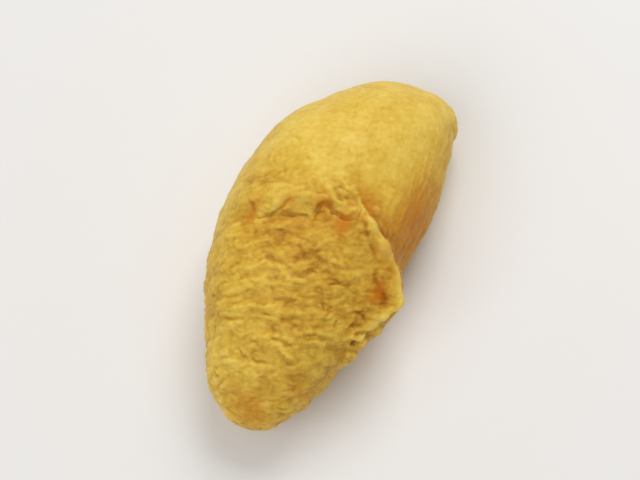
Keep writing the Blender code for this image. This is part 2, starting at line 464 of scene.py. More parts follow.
# %% Folds along the lip
# Each fold: height and width in mm, and its points.
LIP_CREASES = (
    (-0.90, 0.5, ((-12.4, -4.4), (-10.7, -4.1), (-8.8, -2.7), (-7.3, -1.2), (-6.5, 0.1), (-5.8, 1.3))),
    (-0.70, 0.5, ((-7.4, -1.9), (-5.6, -1.3), (-3.4, -0.7), (-1.4, -0.3), (0.0, 0.2))),
    (-1.10, 0.5, ((-0.2, 0.0), (0.1, 1.6), (0.5, 3.3), (1.9, 3.9))),
    (-1.10, 0.5, ((1.0, 3.8), (1.9, 3.9), (3.5, 3.2), (5.2, 2.8), (6.5, 2.7), (7.4, 3.6), (8.2, 4.7))),
)
PLEATS_ABOVE_LIP = (
    (0.80, 0.8, ((-0.6, 8.2), (1.3, 6.6), (2.7, 5.8), (4.5, 5.2), (6.2, 4.9), (7.3, 5.6), (8.6, 6.7))),
    (0.35, 0.7, ((2.4, 7.6), (3.8, 6.9), (5.6, 6.4), (7.0, 7.2), (9.2, 7.6))),
    (-0.30, 0.6, ((-1.8, 9.6), (0.4, 9.5), (2.2, 8.7), (4.4, 8.2), (6.6, 8.9))),
    (-0.40, 0.6, ((0.9, 10.4), (1.9, 9.4), (3.6, 8.9))),
    (-0.25, 0.6, ((-8.4, 12.4), (-6.2, 11.1), (-5.0, 9.6))),
    (-0.25, 0.7, ((-11.6, 11.0), (-10.8, 8.0), (-8.9, 6.0))),
    (-0.25, 0.8, ((-16.2, 16.4), (-14.1, 16.1), (-9.7, 14.6))),
    (-0.35, 0.7, ((-18.4, 2.6), (-16.4, 3.0), (-14.2, 4.6), (-12.6, 7.0))),
    (0.35, 0.9, ((-12.8, -1.8), (-10.8, -2.0), (-9.2, -0.9), (-8.2, 0.9))),
    (0.45, 0.9, ((-9.6, -1.6), (-8.4, -0.4), (-7.6, 1.2), (-6.6, 2.6))),
)
print("folds along the lip:", len(LIP_CREASES + PLEATS_ABOVE_LIP))

# %% [markdown]
# Below the lip the middle has sunk, and a crescent marks its lower rim. The ear has a long soft
# crease inside it, and below it the skin is torn into small curls, which stand up from the wall.

# %% Folds of the sunken middle and of the ear
SUNKEN_MIDDLE = (
    (-0.75, 0.8, ((-15.6, -0.8), (-14.6, -1.8), (-13.2, -2.8), (-12.2, -4.3))),
    (-0.35, 1.2, ((-12.4, -3.6), (-11.4, -5.6), (-10.1, -7.4), (-9.6, -9.3))),
    (-0.60, 1.2, ((1.6, -12.1), (3.0, -11.6), (4.4, -10.3), (5.0, -8.8), (4.4, -7.7))),
    (-0.45, 0.7, ((-6.6, -10.9), (-4.4, -11.2), (-2.0, -11.0), (0.4, -11.5), (1.8, -12.0))),
    (0.50, 0.7, ((-6.6, -12.3), (-4.4, -12.7), (-1.6, -12.6), (1.2, -13.2), (3.2, -12.9), (5.2, -11.6))),
    (0.45, 0.7, ((6.0, -6.6), (7.6, -6.2), (9.8, -6.1), (11.4, -6.6))),
    (-0.25, 0.8, ((-1.0, -6.2), (0.4, -6.8), (2.4, -7.0))),
    (-0.40, 0.6, ((7.4, -10.9), (9.4, -10.3), (11.4, -9.2), (13.2, -8.2))),
    (0.40, 0.9, ((-8.6, -5.4), (-6.4, -4.2), (-4.0, -3.6), (-1.4, -3.9))),
    (0.35, 0.8, ((-3.6, -2.0), (-1.4, -1.9), (0.6, -2.2), (2.0, -1.4))),
    (-0.35, 0.6, ((-7.0, -5.6), (-4.8, -5.2), (-2.6, -5.4))),
    (0.35, 0.8, ((5.2, 0.6), (6.4, -1.6), (6.6, -4.0))),
    (-0.55, 0.9, ((5.4, -9.6), (7.4, -8.9), (9.4, -8.0), (11.2, -7.8))),
)
EAR = (
    (-0.95, 1.4, ((15.0, -2.4), (16.4, -4.2), (17.8, -5.6), (19.3, -6.6), (20.4, -8.2), (20.6, -9.6))),
    (-0.35, 1.3, ((9.3, 3.8), (11.0, 2.6), (12.4, 1.2), (14.3, -0.3), (15.8, -2.0))),
    (0.45, 0.8, ((15.8, -9.6), (17.8, -9.9), (19.2, -9.9), (20.8, -9.6))),
    (-0.45, 0.6, ((14.6, -12.4), (16.4, -12.2), (18.2, -12.6), (19.6, -12.0))),
    (-0.25, 0.8, ((8.6, 4.9), (10.4, 3.6), (12.0, 2.0), (13.2, 0.4))),
    (0.45, 0.8, ((9.8, 8.4), (11.0, 8.0), (12.0, 7.0))),
)
TORN_CURLS = (
    (-0.90, 0.6, ((15.4, -16.4, 24.5), (16.7, -15.4, 23.6), (17.9, -14.5, 22.8), (18.7, -13.3, 22.0))),
    (0.70, 0.7, ((16.0, -16.6, 24.0), (17.3, -15.8, 23.0), (18.6, -14.6, 21.8))),
    (-0.90, 0.6, ((16.3, -17.0, 23.3), (17.6, -16.3, 22.3), (18.6, -15.3, 21.0), (19.2, -14.2, 20.0))),
    (1.30, 0.8, ((16.4, -19.2, 21.6), (16.7, -17.9, 22.5), (17.4, -17.1, 22.0), (18.4, -16.9, 20.8),
                 (19.2, -16.9, 19.0), (19.4, -16.4, 17.4))),
    (-1.40, 0.9, ((17.2, -19.0, 20.6), (18.0, -18.0, 20.0), (18.3, -17.8, 19.0))),
    (0.80, 0.7, ((16.0, -20.8, 19.0), (17.2, -19.8, 18.0), (17.9, -18.9, 16.6))),
)
print("folds of the middle and the ear:", len(SUNKEN_MIDDLE + EAR + TORN_CURLS))

# %% [markdown]
# The narrow half carries short, broken folds that lie across it. The belly has the lap where the
# mouth is folded shut. Soft gathers climb from the foot up the walls of the smooth half, because
# the skin is drawn in under the piece there.

# %% Folds of the narrow half, the belly and the foot
NARROW_HALF = (
    (0.50, 0.9, ((-9.0, -24.2), (-6.8, -23.1), (-4.2, -21.8), (-1.6, -20.7), (0.2, -19.9), (2.0, -19.9))),
    (-0.40, 0.7, ((-1.6, -19.4), (1.5, -18.2), (3.3, -17.2), (4.6, -15.7), (6.7, -14.6), (8.2, -14.4))),
    (-0.45, 0.5, ((-2.2, -15.9), (-1.4, -17.2), (-0.8, -18.2))),
    (-0.50, 0.5, ((8.6, -14.0), (9.5, -15.2), (10.3, -16.4))),
    (-0.60, 0.5, ((12.8, -16.0), (13.3, -17.0), (13.9, -18.2))),
    (-0.45, 0.6, ((-2.4, -22.2), (-0.4, -22.0), (1.6, -21.5), (3.0, -21.5), (5.2, -20.7))),
    (-0.20, 0.7, ((-11.6, -24.4), (-9.8, -25.2), (-8.0, -25.8), (-6.2, -26.4), (-4.6, -26.6))),
    (0.45, 0.8, ((-8.6, -25.8), (-6.4, -26.9), (-4.2, -27.6), (-1.8, -27.6))),
    (-0.60, 0.7, ((1.4, -25.4), (3.4, -25.8), (5.5, -25.6), (8.0, -25.5))),
    (0.60, 0.7, ((4.2, -26.4), (5.8, -27.1), (7.8, -27.5), (9.6, -27.0))),
    (0.50, 0.8, ((9.6, -22.9), (10.8, -22.2), (12.2, -22.0), (13.2, -23.2))),
    (-0.45, 0.7, ((7.4, -23.0), (8.6, -22.3), (10.2, -21.4), (12.0, -20.6))),
    (-0.50, 0.5, ((-4.8, -30.4), (-3.4, -30.8), (-1.8, -31.2))),
    (-0.50, 0.6, ((-0.6, -30.6), (1.0, -31.1), (2.6, -30.8), (4.2, -30.4))),
    (-0.45, 0.6, ((-3.0, -34.6), (-1.4, -34.7), (0.4, -34.3))),
    (-0.50, 0.7, ((-8.6, -35.4), (-6.8, -36.8), (-4.6, -38.2))),
    (-0.60, 0.6, ((2.0, -38.6), (3.0, -38.2), (4.0, -37.8))),
    (-0.45, 0.6, ((7.6, -37.4), (8.9, -37.1), (10.4, -36.0))),
    (-0.40, 0.6, ((7.4, -34.6), (9.2, -33.2), (10.8, -31.8))),
    (0.70, 0.7, ((4.6, -27.2), (6.2, -27.4), (7.8, -27.5), (9.4, -27.6))),
    (0.45, 0.8, ((-3.4, -21.2), (-1.4, -20.9), (1.2, -19.9))),
)
BELLY = (
    (-0.90, 0.9, ((-3, -34, 0), (1.4, -24, 0), (-0.6, -10, 0), (2, 4, 0), (0.2, 18, 0), (3, 31, 0))),
    (-0.50, 0.8, ((-11.0, -8.0, 0), (-6.0, -3.0, 0), (-0.8, -6.0, 0))),
    (-0.50, 0.8, ((12.0, 15.0, 0), (6.6, 12.4, 0), (1.4, 14.0, 0))),
)
GATHERS = (
    (-0.80, 2.6, ((-14, 3, 2), (-20, 4, 5), (-23, 6, 11), (-23, 9, 18), (-20.5, 12, 24))),
    (0.45, 2.2, ((-13, 9, 3), (-19, 10, 6), (-22.5, 11.5, 11), (-22, 14, 17))),
    (-0.60, 2.2, ((-13, 14, 2), (-18, 15, 5), (-21.5, 16, 11), (-21, 19, 18), (-18, 22, 24))),
    (-0.75, 2.8, ((-10, 22, 2), (-15, 23, 6), (-18, 25, 12), (-17, 28, 19), (-13, 31, 24))),
    (0.50, 2.4, ((-8, 28, 3), (-12, 30, 8), (-14, 31.5, 13), (-13, 34, 18))),
    (-0.65, 2.3, ((-3, 32, 2), (-7, 35, 7), (-9, 36.5, 13), (-7, 37, 20))),
    (-0.55, 2.6, ((4, 36, 2), (6, 40, 7), (5.5, 42, 13), (3, 40, 20))),
    (0.40, 2.2, ((8, 36, 3), (11, 40, 8), (10, 41, 14))),
    (-0.65, 2.2, ((12, 32, 2), (15, 35, 6), (16, 36.5, 11), (14, 37, 18))),
)
print("folds of the narrow half, the belly and the foot:", len(NARROW_HALF + BELLY + GATHERS))

# %% [markdown]
# **Pressing them.** Each fold moves the points near its line along their normals: a bump for a
# ridge, and for a crease a narrow groove with a low shoulder on each side, where the skin it
# displaces goes. Noise in the distance keeps the lines from looking drawn, and noise in the
# strength breaks them up. How deep a point lies in a crease is stored for the material.

# %% Press the single folds
SINGLE_FOLDS = (LIP_CREASES + PLEATS_ABOVE_LIP + SUNKEN_MIDDLE + EAR + TORN_CURLS + NARROW_HALF + BELLY
                + GATHERS)
RIDGES, CREASES = 0.9, 0.6     # one factor for all ridges and one for all creases
SHOULDER = 0.25                # a shoulder's height against the crease's depth
SHORTEST_FADE = 2.2            # mm over which a fold comes and goes, and more for a wide one


def fold_along(spot, line, ups, height, width, seed):
    """How far one fold pushes each place outward, in mm, and how deep it lies in a crease, 0 to 1."""
    distance, side, along = from_line(spot, line, ups)
    past = distance * side + 0.5 * ripple(spot, 2.4, seed) + 0.25 * ripple(spot, 1.1, seed)
    end = along.max()
    fade = min(0.4 * end, max(SHORTEST_FADE, 2.0 * width))
    share = rise(along, 0.0, fade) * (1.0 - rise(along, end - fade, end))
    share *= np.clip(0.8 + 0.5 * ripple(spot, 2.0, seed + 50), 0.2, 1.3)
    share *= rise(2.6 * width + 1.0 - distance, 0.0, 1.0)
    if height > 0:
        return RIDGES * share * height * bump(past, width), np.zeros(len(spot))
    groove = bump(past, 0.5 * width)
    shoulders = SHOULDER * bump(np.abs(past) - 1.4 * width, width)
    return CREASES * share * height * (groove - shoulders), share * groove


def store(piece, name, values):
    """Keeps one number for each point of the mesh, under a name that node trees can read."""
    attribute = piece.data.attributes.get(name) or piece.data.attributes.new(name, "FLOAT", "POINT")
    attribute.data.foreach_set("value", np.ascontiguousarray(values, dtype=np.float32))


finder = skin_finder()
places, normals = places_of(skin), normals_of(skin)
push, pressed = np.zeros(len(places)), np.zeros(len(places))
for number, (height, width, points) in enumerate(SINGLE_FOLDS):
    line, ups = lay_line(finder, points)
    near = near_line(places, line, 3.0 * width + 2.0)
    lifted, sunk = fold_along(places[near], line, ups, height, width, number)
    push[near] += lifted
    pressed[near] = np.maximum(pressed[near], sunk)
places += normals * push[:, None]
move_to(skin, places)
store(skin, "pressed", pressed)
print(len(SINGLE_FOLDS), "folds pressed, from", round(push.min(), 2), "to", round(push.max(), 2), "mm")

# %% [markdown]
# **Where the skin is crinkled.** The narrow half was gathered when the pouch was folded, so it is
# crinkled all over, though less on the flap beside the ear, which is pulled taut. A belt above the
# lip is crinkled too and, more weakly, the foot. The blunt half was stretched over the rice, so it
# is nearly smooth, with faint long lines that run level along its +X wall. Two more numbers at
# each point of the skin hold this. The border follows the lip and then the hem down to the ear,
# and on the -X side, where nothing marks it, it fades and wanders.

# %% Store where the skin is crinkled
# Each patch: strength, its plan place, its reach along X and its reach along Y, in mm.
BELT = ((0.75, 1.0, 5.0, 11.0, 5.5), (0.60, -9.5, 3.0, 8.0, 6.0))
FLAP = (0.55, 15.5, -1.5, 5.0, 6.5)
BORDER_WANDER, BORDER_WAVE, BORDER_SEED = 7.0, 11.0, 77

ear_tip = hem[:, 0].argmax()
border = np.concatenate([lip, hem[ear_tip:][::-1]])[:, :2]
border = border[np.argsort(border[:, 0])]


def past_border(places):
    """How far each place is past the border towards -Y, in mm, and how far it is out on the -X side."""
    far_side = rise(-places[:, 0], 8.0, 16.0)
    wander = BORDER_WANDER * far_side * ripple(places, BORDER_WAVE, BORDER_SEED)
    return np.interp(places[:, 0], *border.T) + wander - places[:, 1], far_side


x, y, z = places.T
past, far_side = past_border(places)
softness = 2.0 + 10.0 * far_side
narrow_half = rise(past, -0.5 * softness, softness)
belt = np.maximum(*[patch(places, *part) for part in BELT])
foot = 0.45 * (1.0 - rise(z, 3.0, 17.0))
crinkle = 0.22 + 0.78 * narrow_half + belt + foot - patch(places, *FLAP) * narrow_half
wall = rise(x, 9.0, 17.0) * (1.0 - narrow_half)
store(skin, "crinkle", np.clip(crinkle, 0.0, 1.0))
store(skin, "striae", 0.2 * (1.0 - narrow_half) + 0.8 * wall)
print("share of the skin that is crinkled:", round(float(narrow_half.mean()), 2))

# %% [markdown]
# **The crinkles.** Fried tofu skin creases at several sizes at once: soft folds a few millimetres
# apart, finer pleats on them, and a broken net of creases with short cracks where the skin has
# split. They could be sculpted by hand, but they cover half the piece and follow its surface by
# rule, so Geometry Nodes make them. Every size is a named input of the tree, in metres, and a seed
# slides all the patterns. The heights are small, because the skin is only about 2 mm thick.

# %% The tree and its inputs
crinkler = bpy.data.node_groups.new("crinkled_tofu_skin", "GeometryNodeTree")
CRINKLE_SIZES = {
    "Wander": 2.6 * MM,
    "Fold Length": 8.5 * MM,
    "Fold Spacing": 3.6 * MM,
    "Fold Height": 0.44 * MM,
    "Pleat Length": 3.4 * MM,
    "Pleat Spacing": 1.5 * MM,
    "Pleat Height": 0.19 * MM,
    "Cell Length": 5.6 * MM,
    "Cell Width": 2.4 * MM,
    "Crease Depth": 0.12 * MM,
    "Crack Spacing": 7.0 * MM,
    "Crack Width": 0.7 * MM,
    "Crack Depth": 0.20 * MM,
    "Striae Spacing": 1.5 * MM,
    "Striae Length": 10.0 * MM,
    "Striae Height": 0.32 * MM,
    "Grain Size": 0.9 * MM,
    "Grain Height": 0.08 * MM,
}
crinkler.interface.new_socket("Geometry", in_out="OUTPUT", socket_type="NodeSocketGeometry")
crinkler.interface.new_socket("Geometry", in_out="INPUT", socket_type="NodeSocketGeometry")
for name in CRINKLE_SIZES:
    crinkler.interface.new_socket(name, in_out="INPUT", socket_type="NodeSocketFloat")
crinkler.interface.new_socket("Seed", in_out="INPUT", socket_type="NodeSocketInt")
crinkler.interface.new_socket("Skin", in_out="INPUT", socket_type="NodeSocketMaterial")
given = crinkler.nodes.new("NodeGroupInput").outputs
print("inputs:", [socket.name for socket in given if socket.name])

# %% [markdown]
# **A bent space.** Noise by itself lies along the axes and looks combed. So the space that the
# patterns are read in is slid by the seed, bent by slow noise so that no line runs straight, and
# turned to lie along the lip, as the real folds do.

# %% Bend and turn the space
CRINKLE_TURN = math.radians(-24.0)
SEED_SLIDE = (0.137, 0.071, 0.193)
BEND_SIZE = 7.0 * MM

place = add_node(crinkler, "GeometryNodeInputPosition")
slide = add_node(crinkler, "ShaderNodeVectorMath", {0: SEED_SLIDE, "Scale": given["Seed"]}, operation="SCALE")
slid = add_node(crinkler, "ShaderNodeVectorMath", {0: place, 1: slide}, operation="ADD")
slow = add_node(crinkler, "ShaderNodeTexNoise", {"Vector": slid, "Scale": 1 / BEND_SIZE, "Detail": 2.0}, 1)
centred = add_node(crinkler, "ShaderNodeVectorMath", {0: slow, 1: (0.5, 0.5, 0.5)}, operation="SUBTRACT")
bend = add_node(crinkler, "ShaderNodeVectorMath", {0: centred, "Scale": given["Wander"]}, operation="SCALE")
bent = add_node(crinkler, "ShaderNodeVectorMath", {0: slid, 1: bend}, operation="ADD")
turned = add_node(crinkler, "ShaderNodeVectorRotate", {"Vector": bent, "Angle": CRINKLE_TURN},
                  rotation_type="Z_AXIS")
print("turned by", round(math.degrees(CRINKLE_TURN)), "degrees about Z")

# %% [markdown]
# **Folds, pleats and striae.** All three are lines that wander and join, at three sizes. They come
# from noise stretched along the lines. It is brought to swing about zero and its sign is dropped,
# so a valley forms wherever it crosses zero. A smooth step then rounds the valleys of the folds
# and pleats and flattens their ridges. The striae are the fine long lines of stretched skin: close
# together in Z and long in X and Y, so that they run level along the walls.

# %% Folds, pleats and striae
# Each wave: the space it is read in, its sizes along X, Y and Z, and the noise's detail and roughness.
WAVES = {
    "folds": (turned, ("Fold Length", "Fold Spacing", "Fold Length"), 1.5, 0.4),
    "pleats": (turned, ("Pleat Length", "Pleat Spacing", "Pleat Length"), 2.0, 0.5),
    "striae": (bent, ("Striae Length", "Striae Length", "Striae Spacing"), 1.0, 0.5),
}
WIDEST_VALLEY = {"folds": 0.9, "pleats": 0.7}
TO_SWING = {1: 4.0, 2: -2.0}   # noise lies about 0.5, so times 4 and less 2 it swings about 0

waves = {}
for name, (space, sizes, detail, roughness) in WAVES.items():
    size = add_node(crinkler, "ShaderNodeCombineXYZ", {n: given[side] for n, side in enumerate(sizes)})
    stretched = add_node(crinkler, "ShaderNodeVectorMath", {0: space, 1: size}, operation="DIVIDE")
    rough_wave = add_node(crinkler, "ShaderNodeTexNoise",
                          {"Vector": stretched, "Scale": 1.0, "Detail": detail, "Roughness": roughness})
    swing = add_node(crinkler, "ShaderNodeMath", {0: rough_wave, **TO_SWING}, operation="MULTIPLY_ADD")
    waves[name] = add_node(crinkler, "ShaderNodeMath", {0: swing}, operation="ABSOLUTE")
for name, width in WIDEST_VALLEY.items():
    waves[name] = add_node(crinkler, "ShaderNodeMapRange", {0: waves[name], 1: 0.0, 2: width, 3: 0.0, 4: 1.0},
                           interpolation_type="SMOOTHSTEP")
print("waves:", list(waves), "in", len(crinkler.nodes), "nodes so far")

# %% [markdown]
# **The net of creases** runs where two neighbouring bulges of skin meet, so it is the border
# between stretched Voronoi cells. On real skin it is broken, so slow noise takes parts of it away.
#
# **The cracks** are short dashes. Points are scattered on the skin, and each place is measured
# against the nearest one. Both are first squeezed along X and Z and stretched along Y, which makes
# the round spot about each point a dash along X.

# %% Creases and cracks
CREASE_WIDTH = 0.14            # as a share of a cell
GAP_SIZE = 3.5 * MM
CRACK_STRETCH = (0.5, 1.25, 0.5)

cell_size = add_node(crinkler, "ShaderNodeCombineXYZ",
                     {0: given["Cell Length"], 1: given["Cell Width"], 2: given["Cell Length"]})
in_cells = add_node(crinkler, "ShaderNodeVectorMath", {0: turned, 1: cell_size}, operation="DIVIDE")
to_border = add_node(crinkler, "ShaderNodeTexVoronoi", {"Vector": in_cells, "Scale": 1.0},
                     feature="DISTANCE_TO_EDGE")
near_border = add_node(crinkler, "ShaderNodeMapRange",
                       {0: to_border, 1: 0.0, 2: CREASE_WIDTH, 3: 1.0, 4: 0.0},
                       interpolation_type="SMOOTHSTEP")
patchy = add_node(crinkler, "ShaderNodeTexNoise", {"Vector": slid, "Scale": 1 / GAP_SIZE, "Detail": 1.0})
present = add_node(crinkler, "ShaderNodeMapRange", {0: patchy, 1: 0.45, 2: 0.6, 3: 0.0, 4: 1.0},
                   interpolation_type="SMOOTHSTEP")
net = add_node(crinkler, "ShaderNodeMath", {0: near_border, 1: present}, operation="MULTIPLY")

per_area = add_node(crinkler, "ShaderNodeMath", {0: given["Crack Spacing"], 1: -2.0}, operation="POWER")
scattered = add_node(crinkler, "GeometryNodeDistributePointsOnFaces",
                     {"Mesh": given["Geometry"], "Density": per_area, "Seed": given["Seed"]})
squeezed = add_node(crinkler, "ShaderNodeVectorMath", {0: place, 1: CRACK_STRETCH}, operation="MULTIPLY")
targets = add_node(crinkler, "GeometryNodeSetPosition", {"Geometry": scattered, "Position": squeezed})
bent_place = add_node(crinkler, "ShaderNodeVectorMath", {0: place, 1: bend}, operation="ADD")
asked = add_node(crinkler, "ShaderNodeVectorMath", {0: bent_place, 1: CRACK_STRETCH}, operation="MULTIPLY")
to_crack = add_node(crinkler, "GeometryNodeProximity", {0: targets, "Sample Position": asked}, 1,
                    target_element="POINTS")
cracks = add_node(crinkler, "ShaderNodeMapRange",
                  {0: to_crack, 1: 0.0, 2: given["Crack Width"], 3: 1.0, 4: 0.0},
                  interpolation_type="SMOOTHSTEP")
print("with creases and cracks:", len(crinkler.nodes), "nodes")

# %% [markdown]
# **Adding up.** Each wave, less its own mean so that the piece keeps its size, is multiplied by its
# height. Folds, pleats, creases and cracks are weighed by the stored crinkle, and striae by the
# stored striae. A fine grain, as frying leaves it, is added all over.

# %% Add up the heights
FOLD_MEAN, PLEAT_MEAN, STRIA_MEAN = 0.50, 0.55, 0.42

crinkled = add_node(crinkler, "GeometryNodeInputNamedAttribute", {"Name": "crinkle"})
striated = add_node(crinkler, "GeometryNodeInputNamedAttribute", {"Name": "striae"})
lift, drop = 0.0, 0.0
for name, mean, size in (("folds", FOLD_MEAN, "Fold Height"), ("pleats", PLEAT_MEAN, "Pleat Height")):
    part = add_node(crinkler, "ShaderNodeMath", {0: waves[name], 1: -mean}, operation="ADD")
    lift = add_node(crinkler, "ShaderNodeMath", {0: part, 1: given[size], 2: lift}, operation="MULTIPLY_ADD")
for sunk, size in ((net, "Crease Depth"), (cracks, "Crack Depth")):
    drop = add_node(crinkler, "ShaderNodeMath", {0: sunk, 1: given[size], 2: drop}, operation="MULTIPLY_ADD")
rough = add_node(crinkler, "ShaderNodeMath", {0: lift, 1: drop}, operation="SUBTRACT")
rough_here = add_node(crinkler, "ShaderNodeMath", {0: rough, 1: crinkled}, operation="MULTIPLY")
stria_part = add_node(crinkler, "ShaderNodeMath", {0: waves["striae"], 1: -STRIA_MEAN}, operation="ADD")
stria_lift = add_node(crinkler, "ShaderNodeMath", {0: stria_part, 1: given["Striae Height"]},
                      operation="MULTIPLY")
with_striae = add_node(crinkler, "ShaderNodeMath", {0: stria_lift, 1: striated, 2: rough_here},
                       operation="MULTIPLY_ADD")
in_grain = add_node(crinkler, "ShaderNodeVectorMath", {0: bent, 1: given["Grain Size"]}, operation="DIVIDE")
grain = add_node(crinkler, "ShaderNodeTexNoise", {"Vector": in_grain, "Scale": 1.0, "Detail": 2.0})
grain_part = add_node(crinkler, "ShaderNodeMath", {0: grain, 1: 2.0, 2: -1.0}, operation="MULTIPLY_ADD")
total = add_node(crinkler, "ShaderNodeMath", {0: grain_part, 1: given["Grain Height"], 2: with_striae},
                 operation="MULTIPLY_ADD")
print("with all heights added:", len(crinkler.nodes), "nodes")

# %% [markdown]
# **Moving the skin.** The sum pushes each point along its normal. The material wants to know where
# the skin has split, so that is stored. Realize Instances and Set Material end the tree.

# %% Move the skin and store the splits
normal = add_node(crinkler, "GeometryNodeInputNormal")
offset = add_node(crinkler, "ShaderNodeVectorMath", {0: normal, "Scale": total}, operation="SCALE")
splits = add_node(crinkler, "ShaderNodeMath", {0: net, 1: cracks}, operation="MAXIMUM")
splits_here = add_node(crinkler, "ShaderNodeMath", {0: splits, 1: crinkled}, operation="MULTIPLY")
marked = add_node(crinkler, "GeometryNodeStoreNamedAttribute",
                  {"Geometry": given["Geometry"], "Name": "split", "Value": splits_here})
moved = add_node(crinkler, "GeometryNodeSetPosition", {"Geometry": marked, "Offset": offset})
realized = add_node(crinkler, "GeometryNodeRealizeInstances", {"Geometry": moved})
painted = add_node(crinkler, "GeometryNodeSetMaterial", {"Geometry": realized, "Material": given["Skin"]})
add_node(crinkler, "NodeGroupOutput", {"Geometry": painted})
print("crinkle tree:", len(crinkler.nodes), "nodes and", len(crinkler.links), "links")

# %% [markdown]
# ** The finish.** The material is aburaage, tofu that was sliced thin, fried twice and simmered in
# soy. It is golden where the fried skin shows, straw yellow where it is stretched thin, and amber in
# the creases, where the soy has gathered and where painted shade darkens them further; the ridges
# are painted paler as a painted highlight. It could be painted by hand, but the colour follows the
# relief, so it is worked out from it: one ramp runs from straw to brown, and what picks the place
# on the ramp is a stored tone, plus patches of noise, plus how deep the point lies in a crease.
# Orange-brown stains from the soy come on top, as an attribute of their own, which on the +X wall
# is partly painted shade.

# %% Material: simmered fried tofu, its colour
TOFU_RAMP = ((0.0, "#eece62"), (0.25, "#e2bb48"), (0.48, "#d0a238"), (0.72, "#b47f22"), (1.0, "#7a4404"))
STAIN_AND_SHADE_COLOUR = "#cb760c"
MOTTLE_SIZE, MOTTLE = 4.5 * MM, 0.70       # patches of unequal frying: their size and their weight
FLECK_SIZE, FLECK = 1.1 * MM, 0.44         # flecks the size of the fried bubbles in the skin
# How much creases, fold grooves and splits darken the tone, as soy and as painted shade; the crease depth is
# below 0 on ridges, which it paints paler as a painted highlight.
SOY_AND_SHADE_IN_CREASES = {"crease": 0.22, "pressed": 0.12, "split": 0.06}

tofu = bpy.data.materials.new("simmered_fried_tofu")
tofu.use_nodes = True
tofu_tree = tofu.node_tree
surface = tofu_tree.nodes["Principled BSDF"]
coordinates = add_node(tofu_tree, "ShaderNodeTexCoord", output="Object")
mottle = add_node(tofu_tree, "ShaderNodeTexNoise",
                  {"Vector": coordinates, "Scale": 1 / MOTTLE_SIZE, "Detail": 3.0})
fleck = add_node(tofu_tree, "ShaderNodeTexNoise",
                 {"Vector": coordinates, "Scale": 1 / FLECK_SIZE, "Detail": 3.0})
mottled = add_node(tofu_tree, "ShaderNodeMath", {0: mottle, 1: MOTTLE, 2: -MOTTLE / 2},
                   operation="MULTIPLY_ADD")
flecked = add_node(tofu_tree, "ShaderNodeMath", {0: fleck, 1: FLECK, 2: -FLECK / 2},
                   operation="MULTIPLY_ADD")
uneven = add_node(tofu_tree, "ShaderNodeMath", {0: mottled, 1: flecked}, operation="ADD")
tone = add_node(tofu_tree, "ShaderNodeAttribute", output="Fac", attribute_name="tone")
toned = add_node(tofu_tree, "ShaderNodeMath", {0: tone, 1: uneven}, operation="ADD")
# Creases darken the tone as soy and as painted shade, and ridges lighten it as a painted highlight.
for name, weight in SOY_AND_SHADE_IN_CREASES.items():
    depth = add_node(tofu_tree, "ShaderNodeAttribute", output="Fac", attribute_name=name)
    toned = add_node(tofu_tree, "ShaderNodeMath", {0: depth, 1: weight, 2: toned}, operation="MULTIPLY_ADD")
ramped = add_node(tofu_tree, "ShaderNodeValToRGB", {0: toned})
stops = ramped.node.color_ramp.elements
for number, (position, colour) in enumerate(TOFU_RAMP):
    stop = stops[number] if number < 2 else stops.new(position)
    stop.position, stop.color = position, linear(colour)
# The stain is soy, and on the +X wall partly painted shade.
stain_and_shade = add_node(tofu_tree, "ShaderNodeAttribute", output="Fac", attribute_name="stain_and_shade")
stained_and_shaded = add_node(tofu_tree, "ShaderNodeMix", {0: stain_and_shade, 6: ramped, 7: linear(STAIN_AND_SHADE_COLOUR)}, 2,
                   data_type="RGBA")
tofu_tree.links.new(stained_and_shaded, surface.inputs["Base Color"])
print("ramp:", [(round(stop.position, 2), [round(c, 2) for c in stop.color[:3]]) for stop in stops])

# %% [markdown]
# **Sheen and depth.** The skin is moist with broth and a little oil, which gives a soft sheen that
# is stronger on some flecks than on others, and light goes a millimetre or two into it, more of
# the red than of the blue. Pores and fine grain are too small for the mesh, so they are a bump.

# %% Material: simmered fried tofu, its sheen
PORE_SIZE, PORE_DEPTH, FLECK_HEIGHT = 0.35 * MM, 0.12 * MM, 0.25 * MM
SHINIEST, DULLEST = 0.38, 0.56

pores = add_node(tofu_tree, "ShaderNodeTexNoise",
                 {"Vector": coordinates, "Scale": 1 / PORE_SIZE, "Detail": 2.0})
gloss = add_node(tofu_tree, "ShaderNodeMapRange", {0: fleck, 1: 0.3, 2: 0.7, 3: SHINIEST, 4: DULLEST})
tofu_tree.links.new(gloss, surface.inputs["Roughness"])
pitted = add_node(tofu_tree, "ShaderNodeBump", {"Strength": 0.6, "Distance": PORE_DEPTH, "Height": pores})
grained = add_node(tofu_tree, "ShaderNodeBump",
                   {"Strength": 0.6, "Distance": FLECK_HEIGHT, "Height": fleck, "Normal": pitted})
tofu_tree.links.new(grained, surface.inputs["Normal"])
surface.inputs["IOR"].default_value = 1.42
surface.inputs["Subsurface Weight"].default_value = 0.22
surface.inputs["Subsurface Radius"].default_value = (1.0, 0.55, 0.22)
surface.inputs["Subsurface Scale"].default_value = 2.2 * MM
surface.inputs["Specular IOR Level"].default_value = 0.17
surface.inputs["Coat Weight"].default_value = 0.04
surface.inputs["Coat Roughness"].default_value = 0.3
print("tofu material:", len(tofu_tree.nodes), "nodes")

# %% [markdown]
# **Crinkling the skin.** The tree becomes a modifier of the skin. Its inputs are set by each
# socket's identifier before the mesh is first worked out, and the result replaces the mesh, so
# that no modifier is left on the piece.

# %% Crinkle the skin
CRINKLE_SEED = 4

